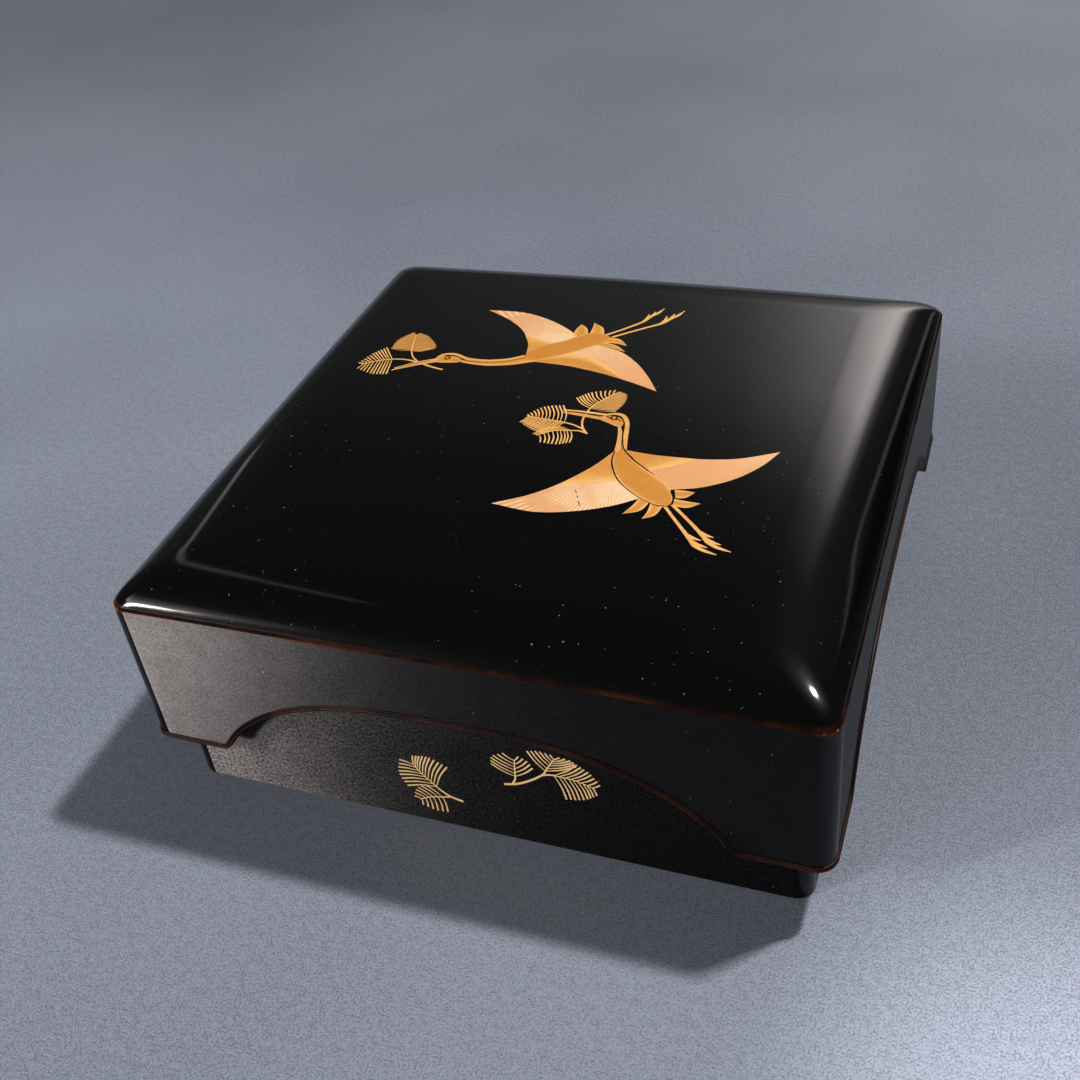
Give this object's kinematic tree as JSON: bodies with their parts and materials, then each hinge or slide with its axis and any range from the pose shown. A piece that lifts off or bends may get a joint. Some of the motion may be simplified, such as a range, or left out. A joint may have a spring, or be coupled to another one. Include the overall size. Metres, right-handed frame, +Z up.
{
  "type": "lacquer box",
  "caption": "Square lacquer box, hollow, with a domed lift-off lid that overhangs it and has arched finger holds in its four walls.",
  "frame": {"origin": "middle of the footprint, on the surface that the box stands on", "axes": "+Z up, out of the lid; +X to the right along the front; +Y to the back"},
  "size_m": [0.151, 0.151, 0.0618],
  "materials": {
    "lid_lacquer": "black lacquer over wood, high gloss, brown and slightly translucent where it is worn along the edges",
    "box_lacquer": "black lacquer over wood, gloss, a little softer than the lid",
    "gold_picture": "flat sprinkled gold, satin, as the birds, pine sprigs and line work of the picture",
    "pearl_picture": "pinkish gold with a pearly sheen, as the wings of the birds"
  },
  "bodies": {
    "root": {"lid": "lid_lacquer", "box": "box_lacquer"}
  },
  "joints": []
}
